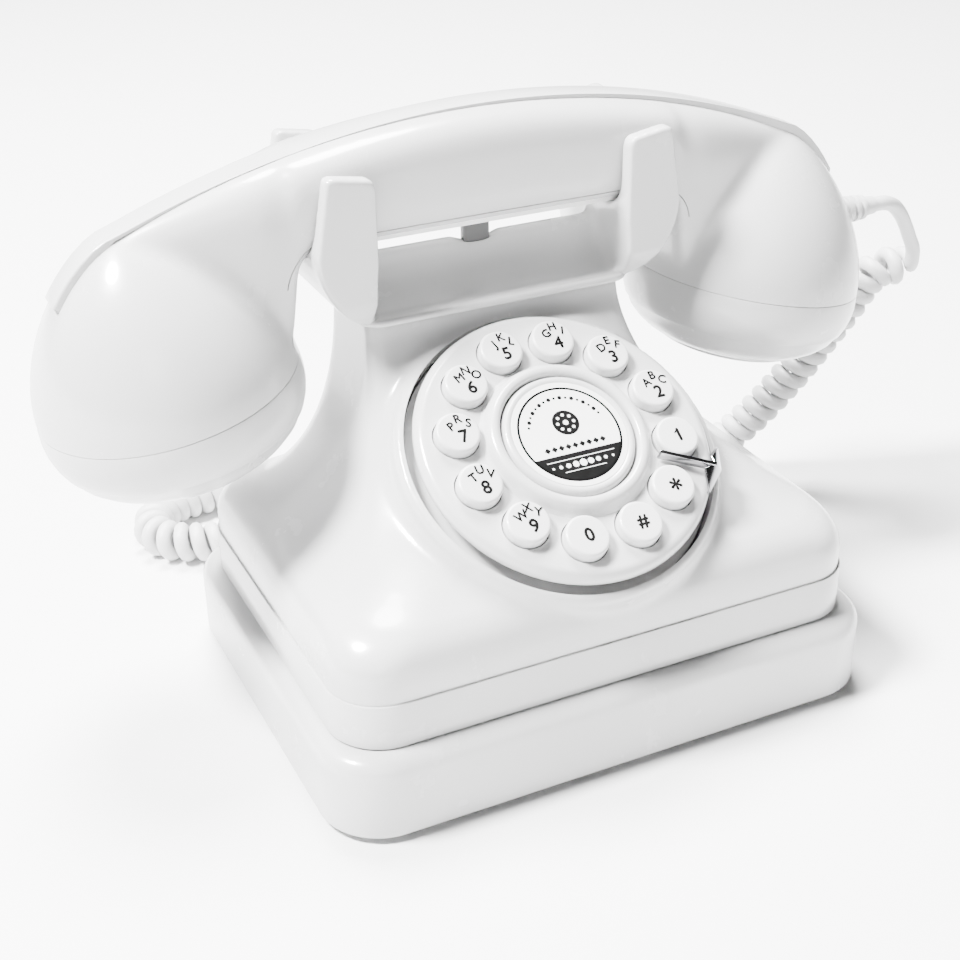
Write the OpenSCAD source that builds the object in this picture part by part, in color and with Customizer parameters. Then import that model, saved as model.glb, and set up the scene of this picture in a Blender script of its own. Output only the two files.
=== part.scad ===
// Retro desk telephone: stepped base with a waisted neck, a forked cradle that holds a
// bulbous handset, and twelve push keys set in a ring on a round dial plate.
// Millimetres. +X is to the right of the caller, +Y is the back, +Z is up.
// The origin is on the standing surface, under the middle of the base.

/* [Base] */
// Width of the lower tray
tray_w = 153; // [149:1:165]
// Depth of the lower tray
tray_d = 119; // [117:1:130]
// Height of the ledge that the upper housing stands on
ledge_z = 22.9; // [21.5:0.1:25]
// Width of the upper housing at its foot
housing_w = 144; // [138:1:146]
// Depth of the upper housing at its foot
housing_d = 108; // [106:1:112]
// Height of the vertical band around the foot of the upper housing
band_h = 12.3; // [10:0.1:14]
// How far the rubber feet hold the tray off the table
foot_h = 1.5; // [1:0.1:3]

/* [Neck and cradle] */
// Height of the top of the neck, where the cradle starts
neck_z = 99.5; // [97:0.5:102]
// Width of the neck at its top
neck_w = 72; // [70:1:74]
// Depth of the neck at its top
neck_d = 29; // [28:0.5:30]
// Distance from the middle of the base back to the middle of the neck
neck_y = 26.5; // [26:0.5:28]
// Height of the tips of the cradle prongs
prong_z = 140.2; // [136:0.1:142]
// How much taller the back prongs are than the front ones
back_rise = 2.5; // [0:0.1:3]

/* [Dial] */
// Radius of the ring of keys
key_ring_r = 28.1; // [28:0.1:28.6]
// Radius of one key
key_r = 5.6; // [5.2:0.1:5.8]
// How far a key stands proud of the dial plate
key_proud = 3; // [2:0.1:4]
// Radius of the dial plate
plate_r = 38.1; // [37:0.1:39]
// Lean of the dial plate back from the horizontal, in degrees
dial_tilt = 33.3; // [31:0.1:35]

/* [Handset] */
// Radius of the mouthpiece and earpiece rims
rim_r = 33.3; // [32:0.1:34]
// Distance from the middle of the handset to the middle of each rim
rim_x = 84.6; // [84:0.1:88]
// Lean of each bulb outwards at its top, in degrees
bulb_lean = 11.3; // [9:0.1:13]
// Depth of the handle, front to back
handle_d = 28.6; // [26:0.1:28.8]
// Radius of the long arc along the top of the handle
handle_arc_r = 242; // [220:1:260]

/* [Cord] */
// Outer diameter of the curly part of the cord
coil_d = 12; // [9:0.5:12]
// Diameter of the cord's single lead
lead_d = 4; // [3.2:0.1:4]

/* [Hidden] */
$fn = 48;
wall = 2.4;
tray_r = 16;
floor_z = foot_h + 2.5;
band_z = ledge_z + band_h;
housing_r = 14;
handle_top_z = 148.1;
handle_low_z = 119.4;
rim_z = 88.7;
arc_mid_z = handle_top_z - handle_arc_r;
dial_at = [0, -24.6, 76.6];
dial_depth = 15;
bezel_r = 40;
bezel_top = -4;
plate_t = 2.6;
board_top = -10.2;
key_names = ["key_1", "key_2", "key_3", "key_4", "key_5", "key_6",
             "key_7", "key_8", "key_9", "key_0", "key_hash", "key_star"];
screw_at = [[-58, -22], [58, -22], [-58, 24], [58, 24]];
foot_at = [[-60, -44], [60, -44], [-60, 44], [60, 44]];
board_at = [[-34, -18], [34, -18], [-34, 10], [34, 10]];
speaker_at = [-36, 34];
jack_at = [34, tray_d / 2, 12.5];
gland_at = [4, tray_d / 2, 12.5];
cord_exit = [112.5, neck_y, 100.4];
relief_len = 17;

// Centre line of the single lead from the handset to the coil, then of the coil, and
// then of the single lead from the coil to the base.
lead_path = [[129.7, 26.5, 100.4], [134, 26.5, 100.3], [138, 27, 98.6], [141.6, 27.9, 95],
             [144.6, 29.1, 90.6], [147, 30.4, 86], [148.8, 31.4, 81.8], [150, 32, 77.6]];
coil_path = [[153.2, 36, 74], [148.7, 37, 74.4], [144.4, 38.4, 73.6], [140.8, 40, 69.8],
             [137.3, 41.5, 63.4], [133.2, 43, 56.8], [129, 45.2, 49.4], [124.4, 47.5, 41.4],
             [120.6, 49.8, 35], [115.7, 52.4, 27.6], [110.6, 55.4, 20.6], [104.5, 58.8, 13.8],
             [97, 62.6, 8.6], [88, 66.4, 6.4], [76, 70.2, 6.1], [62, 73.6, 6.1], [44, 77, 6.1],
             [24, 79.8, 6.1], [4, 81.4, 6.1], [-18, 82, 6.1], [-36, 82.3, 6.1], [-52, 83.2, 6.1],
             [-65, 85.8, 6.1], [-74, 91.2, 6.1], [-77, 99, 6.1], [-74.4, 106.6, 6.1],
             [-66.5, 112, 6.1], [-54, 114.4, 6.1], [-40, 114.4, 6.1], [-26, 112.5, 6.1]];
tail_path = [[-26, 112.5, 6.1], [-20, 111.4, 6.3], [-12, 108.6, 7.6], [-4, 104, 10.2],
             [2, 98, 13], [5, 91, 14.8], [5.2, 84, 15.2], [4.6, 79, 14.4], [4, 74.6, 12.5]];

// ---- shared shapes ----

// Plan outline: a rectangle from corner a to corner b with round corners, n steps each.
function rounded_outline(a, b, r, n = 5) = [
    for (q = [0:3], i = [0:n])
        let (c = [q == 0 || q == 3 ? b[0] - r : a[0] + r, q < 2 ? b[1] - r : a[1] + r],
             t = 90 * (q + i / n))
        c + r * [cos(t), sin(t)]];

// Closed solid through a list of rings that all have the same number of points.
module loft(rings) {
    n = len(rings[0]);
    m = len(rings);
    polyhedron(
        points = [for (ring = rings, p = ring) p],
        faces = concat(
            [[for (i = [0:n - 1]) i]],
            [[for (i = [n - 1:-1:0]) (m - 1) * n + i]],
            [for (k = [0:m - 2], i = [0:n - 1])
                let (j = (i + 1) % n)
                [k * n + i, (k + 1) * n + i, (k + 1) * n + j]],
            [for (k = [0:m - 2], i = [0:n - 1])
                let (j = (i + 1) % n)
                [k * n + i, (k + 1) * n + j, k * n + j]]));
}

// Upright block with round vertical corners, centred on x = 0.
module rounded_block(w, d, r, z0, z1) {
    translate([0, 0, z0]) linear_extrude(z1 - z0) {
        square([w - 2 * r, d], center = true);
        square([w, d - 2 * r], center = true);
        for (x = [-1, 1], y = [-1, 1])
            translate([x * (w / 2 - r), y * (d / 2 - r)]) circle(r);
    }
}

module on_dial() {
    translate(dial_at) rotate([dial_tilt, 0, 0]) children();
}

module on_key(k) {
    on_dial() rotate([0, 0, 30 * k - 15]) translate([key_ring_r, 0, 0]) children();
}

// side is -1 for the mouthpiece and 1 for the earpiece; z runs up the bulb from its rim.
module on_bulb(side) {
    translate([side * rim_x, neck_y, rim_z]) rotate([0, side * bulb_lean, 0]) children();
}

// Round tube swept along a list of points.
function unit(v) = v / norm(v);
function heading(p, i) = unit(p[min(i + 1, len(p) - 1)] - p[max(i - 1, 0)]);
function tube_ring(c, dir, across, r, n) =
    let (side = unit(cross(dir, across)), up = cross(side, dir))
    [for (i = [0:n - 1]) c + r * (cos(360 * i / n) * side + sin(360 * i / n) * up)];
// across is a direction that the path never runs along.
module tube(path, r, n, across) {
    loft([for (i = [0:len(path) - 1]) tube_ring(path[i], heading(path, i), across, r, n)]);
}

// ---- upper housing ----

// Half-width of one side of the housing at height z: a straight foot, a round shoulder and
// a concave sweep up to the neck. It ends upright at the neck.
shoulder_r = 12;
shoulder_z = band_z + 5;
function sweep_out(z, foot, neck, lift) =
    let (z0 = shoulder_z + shoulder_r * sin(lift),
         w0 = foot - shoulder_r + shoulder_r * cos(lift),
         z1 = z0 + (w0 - neck) / tan(lift),
         a = z0 - 2 * z1 + neck_z,
         b = 2 * (z1 - z0),
         t = z <= z0 ? 0 : (sqrt(b * b - 4 * a * (z0 - z)) - b) / (2 * a))
    z <= shoulder_z ? foot
    : z <= z0 ? foot - shoulder_r + sqrt(pow(shoulder_r, 2) - pow(z - shoulder_z, 2))
    : neck + (w0 - neck) * pow(1 - t, 2);

function housing_ring(z, inset) =
    let (w = sweep_out(z, housing_w / 2, neck_w / 2, 60) - inset,
         front = sweep_out(z, housing_d / 2 + neck_y, neck_d / 2, 63) - inset,
         back = sweep_out(z, housing_d / 2 - neck_y, neck_d / 2, 72) - inset,
         s = (w + inset - neck_w / 2) / (housing_w / 2 - neck_w / 2),
         r = 4 + (housing_r - 4) * s + 36 * s * (1 - s))
    [for (p = rounded_outline([-w, neck_y - front], [w, neck_y + back], max(r - inset, 1.5)))
        [p[0], p[1], z]];

sweep_steps = 14;
function housing_levels(top) = [for (i = [0:sweep_steps])
    shoulder_z + (top - shoulder_z) * pow(i / sweep_steps, 1.25)];

module housing_outer() {
    loft([for (z = concat([ledge_z, band_z], housing_levels(neck_z))) housing_ring(z, 0)]);
}

module housing_inner() {
    loft([for (z = concat([ledge_z - 1, band_z], housing_levels(neck_z - 3)))
        housing_ring(z, wall)]);
}

module screw_post(at, d, z0, z1) {
    translate([at[0], at[1], z0]) cylinder(d = d, h = z1 - z0);
}

module upper_housing() color("white") {
    difference() {
        housing_outer();
        difference() {
            housing_inner();
            for (at = screw_at) screw_post(at, 7.5, ledge_z - 2, 60);
        }
        on_dial() translate([0, 0, -dial_depth]) cylinder(r = bezel_r + 0.05, h = 60);
        for (at = screw_at) translate([at[0], at[1], ledge_z - 3]) cylinder(d = 3.1, h = 16);
        translate([0, neck_y, neck_z - 5]) linear_extrude(6) square([58, 17], center = true);
    }
}

// ---- base ----

module base_tray() color("white") {
    difference() {
        union() {
            rounded_block(tray_w, tray_d, tray_r, foot_h, ledge_z - 3.4);
            rounded_block(tray_w - 4, tray_d - 4, tray_r - 2, ledge_z - 3.5, ledge_z);
        }
        difference() {
            union() {
                rounded_block(tray_w - 2 * wall, tray_d - 2 * wall, tray_r - wall, floor_z, ledge_z - 6);
                rounded_block(housing_w - 4 * wall, housing_d - 4 * wall, housing_r - 2 * wall,
                              ledge_z - 7, ledge_z + 1);
            }
            for (at = screw_at) screw_post(at, 9, floor_z - 1, ledge_z);
            for (at = board_at) translate([at[0], at[1], floor_z - 1]) cylinder(d = 6, h = 6);
        }
        for (at = foot_at) translate([at[0], at[1], foot_h - 1]) cylinder(d = 12.4, h = 2.3);
        for (at = screw_at) translate([at[0], at[1], foot_h - 1]) cylinder(d = 3.3, h = 40);
        for (at = screw_at) translate([at[0], at[1], foot_h - 1]) cylinder(d = 6.2, h = 4.2);
        for (at = board_at) translate([at[0], at[1], floor_z + 1]) cylinder(d = 2.2, h = 10);
        for (i = [-2:2], j = [-2:2])
            if (i * i + j * j < 6)
                translate([speaker_at[0] + 5 * i, speaker_at[1] + 5 * j, 0]) cylinder(d = 2, h = 10);
        translate(jack_at + [-7.1, -10, -6.1]) cube([14.2, 20, 10.4]);
        translate(gland_at) rotate([90, 0, 0]) cylinder(d = 6.1, h = 20, center = true);
    }
}

module rubber_feet() color("dimgray") {
    for (at = foot_at) translate([at[0], at[1], 0]) cylinder(d = 12, h = foot_h + 1.3);
}

module base_screws() color("silver") {
    for (at = screw_at) translate([at[0], at[1], foot_h + 0.8]) {
        difference() {
            cylinder(d = 5.6, h = 2.4);
            translate([0, 0, -1]) cylinder(d = 1.6, h = 2.2);
        }
        translate([0, 0, 2.3]) cylinder(d = 2.9, h = 28);
    }
}

module ballast_plate() color("slategray") {
    translate([-28, -50, floor_z]) cube([56, 24, 6]);
}

module main_board() color("seagreen") {
    difference() {
        translate([-40, -23, floor_z + 5]) cube([80, 38, 1.6]);
        for (at = board_at) translate([at[0], at[1], floor_z]) cylinder(d = 2.6, h = 10);
    }
    translate([-14, -10, floor_z + 6.5]) cube([16, 12, 2.4]);
    translate([10, 0, floor_z + 6.5]) cube([9, 9, 1.8]);
    for (x = [19, 27]) translate([x, -13, floor_z + 6.5]) cylinder(d = 6, h = 9);
}

module board_screws() color("silver") {
    for (at = board_at) translate([at[0], at[1], floor_z + 1.5]) {
        cylinder(d = 2.1, h = 6);
        translate([0, 0, 5.1]) cylinder(d = 4.6, h = 1.6);
    }
}

module ringer_speaker() color("dimgray") {
    translate([speaker_at[0], speaker_at[1], floor_z]) {
        difference() {
            cylinder(d = 34, h = 4);
            translate([0, 0, -1]) cylinder(d = 29, h = 4);
        }
        translate([0, 0, 3.9]) cylinder(d = 20, h = 6);
    }
}

module line_jack() color("gainsboro") {
    translate(jack_at) difference() {
        union() {
            translate([-7, -13.5, -6]) cube([14, 13.5, 10.2]);
            translate([-8.5, -wall - 1.6, -6]) cube([17, 1.5, 10.2]);
        }
        translate([-5, -12, -3.4]) cube([10, 20, 6.8]);
        translate([-1.8, -12, -5]) cube([3.6, 20, 2]);
    }
}

module base_strain_relief() color("white") {
    translate(gland_at) rotate([-90, 0, 0]) {
        translate([0, 0, -wall - 2]) cylinder(d = 9, h = 1.9);
        translate([0, 0, -wall - 0.2]) cylinder(d = 6, h = wall + 0.4);
        translate([0, 0, 0.1]) cylinder(d = 8, h = 1.4);
        translate([0, 0, 1.4]) cylinder(d1 = 7, d2 = lead_d + 1, h = 13.4);
    }
}

// ---- cradle ----

cove_r = 12;
ridge_half = 1.9;
ridge_z = neck_z + 2 + cove_r;
// Cross-section of the bridge between the forks: a bead at its foot, then a cove up to a
// narrow ridge, the same at the front and the back.
function cove(side) = [for (i = [0:8]) let (t = 90 * i / 8)
    [side * (ridge_half + cove_r * (1 - sin(t))), ridge_z - cove_r * cos(t)]];
function half_bead(side) = [for (i = [0:6]) let (t = 180 * i / 6 - 90)
    [side * (neck_d / 2 + 0.3 + 1.5 * cos(t)), neck_z + 1.5 + 1.5 * sin(t)]];

module bridge_section() {
    polygon(concat(half_bead(1), [for (i = [0:8]) cove(1)[i]], [for (i = [8:-1:0]) cove(-1)[i]],
                   [for (i = [6:-1:0]) half_bead(-1)[i]]));
}

prong_t = 4.5;
channel_half = handle_d / 2 + 0.6;
fork_half = channel_half + prong_t;
channel_z = handle_low_z - 0.4;

// Front view of one fork: it leaves the corner of the neck, swells outwards and ends in
// a prong whose tip slopes up and away from the middle. The back prong is a little taller.
module fork_outline(top) {
    polygon([[34.2, neck_z + 0.5], [37, neck_z + 0.5], [42.5, neck_z + 4], [47, neck_z + 9],
             [49.6, neck_z + 14.5], [50.2, neck_z + 20], [47.8, top - 0.6], [46.8, top],
             [36.2, top - 1.8], [34.8, top - 3.2], [34.4, top - 10]]);
}

// Side view of a fork, with the channel that the handle lies in.
module fork_section() {
    difference() {
        translate([-fork_half, neck_z]) square([2 * fork_half, 60]);
        translate([-channel_half, channel_z + 8]) square([2 * channel_half, 60]);
        translate([-channel_half + 8, channel_z]) square([2 * channel_half - 16, 60]);
        for (s = [-1, 1]) translate([s * (channel_half - 8), channel_z + 8]) circle(8);
        for (s = [-1, 1]) translate([s * fork_half, neck_z]) rotate(45)
            square([4 * sqrt(2), 4 * sqrt(2)], center = true);
    }
}

module cradle() color("white") {
    translate([0, neck_y, 0]) difference() {
        union() {
            rotate([90, 0, 90]) translate([0, 0, -neck_w / 2 - 0.8])
                linear_extrude(neck_w + 1.6) bridge_section();
            for (s = [0, 1]) mirror([s, 0, 0]) intersection() {
                union() {
                    rotate([90, 0, 0]) linear_extrude(30) fork_outline(prong_z);
                    rotate([90, 0, 0]) translate([0, 0, -30]) linear_extrude(30)
                        fork_outline(prong_z + back_rise);
                }
                rotate([90, 0, 90]) linear_extrude(60) fork_section();
            }
            translate([0, 0, neck_z - 2.4]) linear_extrude(3) square([57, 16], center = true);
        }
        for (s = [-1, 1]) translate([s * 54, 0, 126]) cube([20, 2 * channel_half, 30], center = true);
        translate([0, 0, ridge_z]) cube([14.6, 12, 10], center = true);
        translate([0, 0, neck_z - 10]) cylinder(r = 2.6, h = 40);
        translate([0, 0, neck_z - 3]) cylinder(r = 4.6, h = 5);
    }
}

module hook_plunger() color("dimgray") {
    translate([0, neck_y, 0]) {
        translate([-4, -2.2, ridge_z - 4.4]) cube([8, 4.4, handle_low_z - ridge_z + 4.2]);
        translate([0, 0, 92]) cylinder(r = 2.55, h = ridge_z - 4.3 - 92);
        translate([0, 0, 92]) cylinder(r = 4, h = 1.5);
        translate([0, 0, 88]) cylinder(r = 1.4, h = 4.1);
    }
}

module hook_spring() color("silver") {
    translate([0, neck_y, 87.05]) difference() {
        cylinder(r = 3.8, h = 4.9);
        translate([0, 0, -1]) cylinder(r = 2.4, h = 20);
    }
}

module hook_switch() color("black") {
    translate([-10, neck_y - 3.2, 78]) cube([20, 6.4, 9]);
    translate([0, neck_y, 86.9]) cylinder(r = 1.6, h = 0.9);
    for (x = [-14, 10]) translate([x, neck_y - 3.2, 78]) cube([4, 6.4, neck_z - 2.4 - 78]);
}

// ---- dial ----

module dial_bezel() color("white") {
    on_dial() difference() {
        translate([0, 0, -dial_depth]) cylinder(r = bezel_r, h = dial_depth + bezel_top, $fn = 96);
        difference() {
            translate([0, 0, -dial_depth + 2]) cylinder(r = 34.5, h = 30, $fn = 96);
            for (a = [90, 210, 330]) rotate(a) translate([30, 0, -dial_depth])
                cylinder(d = 6, h = dial_depth + board_top - 1.64);
        }
        translate([0, 0, -dial_depth - 1]) cylinder(r = 26, h = 10, $fn = 96);
        for (a = [90, 210, 330]) rotate(a) translate([30, 0, -dial_depth - 1]) cylinder(d = 2.4, h = 9);
    }
}

module dial_plate() color("white") {
    on_dial() difference() {
        union() {
            translate([0, 0, -plate_t]) cylinder(r = plate_r, h = plate_t, $fn = 96);
            translate([0, 0, -dial_depth + 5.8]) cylinder(r = 34.3, h = dial_depth - 5.8 - 0.1, $fn = 96);
        }
        translate([0, 0, -30]) cylinder(r = 36 - 3, h = 30 - plate_t, $fn = 96);
        for (k = [0:11]) rotate(30 * k - 15) translate([key_ring_r, 0, 0]) {
            translate([0, 0, -10]) cylinder(r = key_r + 0.3, h = 20);
            translate([0, 0, -6.8]) cylinder(r = key_r + 1.1, h = 3.9);
        }
        rotate(-30) translate([plate_r - 3.2, -8, -40]) cube([10, 16, 40 - plate_t / 2]);
    }
}

module hub_ring() color("white") {
    on_dial() rotate_extrude($fn = 96)
        polygon([[17.5, 0], [21.5, 0], [20.8, 1.5], [19.9, 2.8], [18.9, 3.3], [18, 3.1], [17.5, 2.4]]);
}

module hub_cap() color("white") {
    on_dial() rotate_extrude($fn = 96)
        polygon([[0, 0], [17, 0], [17, 1.8], [16.7, 2.5], [16, 2.9], [15.2, 2.7], [0, 2.7]]);
}

module hub_label() color("black") {
    on_dial() translate([0, 0, 2.7]) cylinder(r = 14.8, h = 0.25, $fn = 96);
}

// Folded strip: an arm over the plate between two keys, and a barbed clip at the rim.
module finger_stop() color("silver") {
    on_dial() rotate(-29) {
        translate([23, -0.6, 2.6]) cube([16.2, 1.2, 1.6]);
        translate([38.5, 0, 0]) rotate([90, 0, 90]) linear_extrude(1)
            polygon([[0, 4.6], [7, 1.8], [6.4, bezel_top], [-6.4, bezel_top], [-7, 1.8]]);
    }
}

module key(k) color("white") {
    on_key(k) {
        translate([0, 0, -4.5]) cylinder(r = key_r, h = 4.5 + key_proud - 0.6);
        translate([0, 0, key_proud - 0.7]) cylinder(r1 = key_r, r2 = key_r - 0.6, h = 0.7);
        translate([0, 0, -4.6]) cylinder(r = key_r + 0.8, h = 1.4);
        translate([0, 0, -6.4]) cylinder(r = 2.2, h = 2);
    }
}

module key_mat() color("gainsboro") {
    on_dial() translate([0, 0, board_top]) {
        difference() {
            cylinder(r = 33.5, h = 0.8, $fn = 96);
            translate([0, 0, -1]) cylinder(r = 20, h = 4);
            for (a = [90, 210, 330]) rotate(a) translate([30, 0, -1]) cylinder(d = 4.8, h = 4);
        }
        for (k = [0:11]) rotate(30 * k - 15) translate([key_ring_r, 0, 0.7])
            cylinder(r1 = 4.4, r2 = 2.2, h = 1.2);
    }
}

module keypad_board() color("seagreen") {
    on_dial() translate([0, 0, board_top - 1.62]) difference() {
        cylinder(r = 33.8, h = 1.6, $fn = 96);
        for (a = [90, 210, 330]) rotate(a) translate([30, 0, -1]) cylinder(d = 2.6, h = 4);
    }
}

module dial_screws() color("silver") {
    on_dial() for (a = [90, 210, 330]) rotate(a) translate([30, 0, -dial_depth + 0.2]) {
        cylinder(d = 2.1, h = 4.8);
        translate([0, 0, dial_depth + board_top - 0.15]) cylinder(d = 4.2, h = 0.5);
    }
}

// ---- handset ----

function handle_top(x) = arc_mid_z + sqrt(pow(handle_arc_r, 2) - x * x);
// Underside of the handle: flat, then a round corner down to the inner side of the bulb.
corner_x = 45;
corner_r = 8;
bulb_foot_z = 99;
function handle_low(a) =
    a <= corner_x ? handle_low_z
    : a <= corner_x + corner_r ? handle_low_z - corner_r + sqrt(pow(corner_r, 2) - pow(a - corner_x, 2))
    : max(bulb_foot_z, handle_low_z - corner_r - (a - corner_x - corner_r) * 8);
// Cross-section of the handle at x, inset for the hollow; it narrows inside the bulbs.
function handle_ring(x, inset) =
    let (a = abs(x),
         half = handle_d / 2 - max(0, a - 62) * 0.2 - inset,
         low = handle_low(max(0, a - inset)) + inset,
         top = handle_top(x) - inset,
         c = (top + low) / 2,
         h = (top - low) / 2)
    [for (i = [0:19])
        let (t = 360 * i / 20, s = sin(t), q = cos(t))
        [x, neck_y + half * sign(q) * pow(abs(q), 0.62), c + h * sign(s) * pow(abs(s), 0.62)]];

handle_half = [10, 28, 45, 49, 51.5, 53, 54.6, 57, 64, 74, 84, 93];
handle_stations = concat([for (i = [len(handle_half) - 1:-1:0]) -handle_half[i]], handle_half);

// Half-section of a bulb above its rim, as a list from the rim to the top.
bulb_h = 42;
function bulb_side(inset) = [for (i = [0:9]) let (t = pow(i / 9, 0.8))
    [(rim_r - inset) * pow(1 - pow(t, 1.7), 0.68), (bulb_h - inset) * t]];

module bulb(inset, below) {
    rotate_extrude() polygon(concat([[0, -below], [rim_r - inset, -below]], bulb_side(inset)));
}

handset_screw_x = 38.5;
module handset_shell() color("white") {
    difference() {
        union() {
            loft([for (x = handle_stations) handle_ring(x, 0)]);
            for (s = [-1, 1]) on_bulb(s) bulb(0, 0);
        }
        for (s = [-1, 1]) on_bulb(s) bulb(wall, 1);
        difference() {
            union() {
                loft([for (x = handle_stations) if (abs(x) < 85) handle_ring(x, wall + 0.4)]);
                translate([-44, neck_y - 9.1, handle_low_z - 2]) cube([88, 18.2, 7]);
            }
            for (x = [-handset_screw_x, handset_screw_x])
                translate([x, neck_y, handle_low_z + 2.22]) cylinder(d = 7, h = 24);
        }
        for (x = [-handset_screw_x, handset_screw_x])
            translate([x, neck_y, handle_low_z]) cylinder(d = 3, h = 12);
        translate(cord_exit) rotate([0, 90, 0]) cylinder(d = 6, h = 30, center = true);
    }
}

module handset_inner_cover() color("white") {
    translate([0, neck_y, handle_low_z + 0.02]) difference() {
        translate([-43.8, -8.9, 0]) cube([87.6, 17.8, 2.2]);
        for (x = [-handset_screw_x, handset_screw_x]) translate([x, 0, -1]) {
            cylinder(d = 3.2, h = 4);
            cylinder(d = 5.6, h = 2.3);
        }
    }
}

module handset_screws() color("silver") {
    for (x = [-handset_screw_x, handset_screw_x]) translate([x, neck_y, handle_low_z + 0.22]) {
        cylinder(d = 5.2, h = 1.1);
        cylinder(d = 2.9, h = 10);
    }
}

// Raised strip along the top of the handle.
module handset_spine() color("white") {
    span = 46.4;
    translate([0, neck_y, arc_mid_z]) rotate([90, 0, 0]) rotate(90 - span / 2)
        rotate_extrude(angle = span, $fn = 180)
            translate([handle_arc_r + 0.02, -4.4]) square([1.6, 8.8]);
}

// Cap below the rim of a bulb; z runs down from the rim to the sound holes.
cap_side = [[rim_r, 0], [rim_r + 0.3, -4], [rim_r - 0.7, -9.5], [rim_r - 3.4, -14.3],
            [rim_r - 7.6, -18], [rim_r - 13, -20.2], [rim_r - 13.2, -21.2], [0, -21.7]];
module cap(side) color("white") {
    on_bulb(side) translate([0, 0, -0.05]) difference() {
        rotate_extrude() polygon(concat([[0, 0]], cap_side));
        translate([0, 0, -17.6]) cylinder(r1 = rim_r - 12, r2 = rim_r - wall, h = 17.7);
        for (k = [0:5]) rotate(60 * k) translate([7, 0, -25]) cylinder(d = 2.2, h = 12);
        translate([0, 0, -25]) cylinder(d = 2.2, h = 12);
    }
}

module mouthpiece_cap() cap(-1);
module earpiece_cap() cap(1);

module microphone() color("dimgray") {
    on_bulb(-1) translate([0, 0, -17.65]) cylinder(d = 22, h = 8);
}

module receiver() color("dimgray") {
    on_bulb(1) translate([0, 0, -17.65]) {
        cylinder(d = 38, h = 4);
        translate([0, 0, 3.9]) cylinder(d = 22, h = 6);
    }
}

module handset_weight() color("slategray") {
    translate([-30, neck_y - 7, handle_low_z + 2.22]) cube([60, 14, 6]);
}

module handset_strain_relief() color("white") {
    translate(cord_exit) rotate([0, 90, 0]) {
        translate([0, 0, -4]) cylinder(d = 5.9, h = 10);
        translate([0, 0, 5.5]) cylinder(d1 = 6.4, d2 = lead_d + 0.8, h = relief_len - 5.5);
        for (z = [7, 9.6, 12.2]) translate([0, 0, z]) cylinder(d = 7.2, h = 1.3);
    }
}

// ---- cord ----

module cord_lead() color("white") { tube(lead_path, lead_d / 2, 8, [0, 1, 0]); }
module cord_coil() color("white") { tube(coil_path, coil_d / 2, 12, [0, 0, 1]); }
module cord_tail() color("white") { tube(tail_path, lead_d / 2, 8, [0, 0, 1]); }

base_tray();
upper_housing();
cradle();
rubber_feet();
base_screws();
ballast_plate();
main_board();
board_screws();
ringer_speaker();
line_jack();
base_strain_relief();
dial_bezel();
dial_plate();
hub_ring();
hub_cap();
hub_label();
finger_stop();
keypad_board();
key_mat();
dial_screws();
hook_switch();
hook_plunger();
hook_spring();
for (k = [0:11]) key(k);
handset_shell();
handset_inner_cover();
handset_spine();
mouthpiece_cap();
earpiece_cap();
microphone();
receiver();
handset_weight();
handset_screws();
handset_strain_relief();
cord_lead();
cord_coil();
cord_tail();
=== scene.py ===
import math

import bmesh
import bpy
from mathutils import Matrix, Vector


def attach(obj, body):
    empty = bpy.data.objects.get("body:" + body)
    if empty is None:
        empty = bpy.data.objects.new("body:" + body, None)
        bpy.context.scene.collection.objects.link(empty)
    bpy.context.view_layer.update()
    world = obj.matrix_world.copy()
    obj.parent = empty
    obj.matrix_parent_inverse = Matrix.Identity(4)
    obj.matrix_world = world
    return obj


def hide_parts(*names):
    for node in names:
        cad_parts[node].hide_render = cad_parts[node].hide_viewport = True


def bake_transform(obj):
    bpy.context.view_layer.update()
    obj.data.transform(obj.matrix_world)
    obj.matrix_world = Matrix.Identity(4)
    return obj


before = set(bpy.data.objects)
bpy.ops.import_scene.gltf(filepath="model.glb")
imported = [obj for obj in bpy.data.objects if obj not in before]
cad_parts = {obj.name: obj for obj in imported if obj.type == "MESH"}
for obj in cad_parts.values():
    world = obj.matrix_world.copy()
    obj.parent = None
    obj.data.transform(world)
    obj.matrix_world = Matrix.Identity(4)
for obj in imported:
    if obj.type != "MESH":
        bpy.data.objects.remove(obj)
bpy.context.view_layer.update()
mm = 0.001


# Small helpers. Sizes are given in millimetres and made into metres here.

def place(x, y, z):
    return Vector((x, y, z)) * mm


def shifted(x, y, z):
    return Matrix.Translation(place(x, y, z))


def spun(degrees, axis):
    return Matrix.Rotation(math.radians(degrees), 4, axis)


upright = spun(90, "X")     # what was drawn lying down stands up, facing back


def chooseOnly(*chosen):
    if bpy.context.mode != "OBJECT":
        bpy.ops.object.mode_set(mode="OBJECT")
    bpy.ops.object.select_all(action="DESELECT")
    for piece in chosen:
        piece.select_set(True)
    bpy.context.view_layer.objects.active = chosen[0] if chosen else None


def startEdit(piece, kind="VERT"):
    chooseOnly(piece)
    bpy.ops.object.mode_set(mode="EDIT")
    bpy.ops.mesh.select_mode(type=kind)


def endEdit():
    bpy.ops.object.mode_set(mode="OBJECT")
    return bpy.context.object


def pickVerts(test):
    # test takes a place in millimetres
    work = bmesh.from_edit_mesh(bpy.context.object.data)
    for face in work.faces:
        face.select = False
    for edge in work.edges:
        edge.select = False
    for vert in work.verts:
        vert.select = bool(test(vert.co / mm))
    work.select_flush_mode()
    bmesh.update_edit_mesh(bpy.context.object.data)


def pickFaces(test):
    # test takes a face's middle in millimetres and its normal
    work = bmesh.from_edit_mesh(bpy.context.object.data)
    for vert in work.verts:
        vert.select = False
    for edge in work.edges:
        edge.select = False
    for face in work.faces:
        face.select = False
    for face in work.faces:
        if test(face.calc_center_median() / mm, face.normal):
            face.select_set(True)
    bmesh.update_edit_mesh(bpy.context.object.data)


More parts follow.
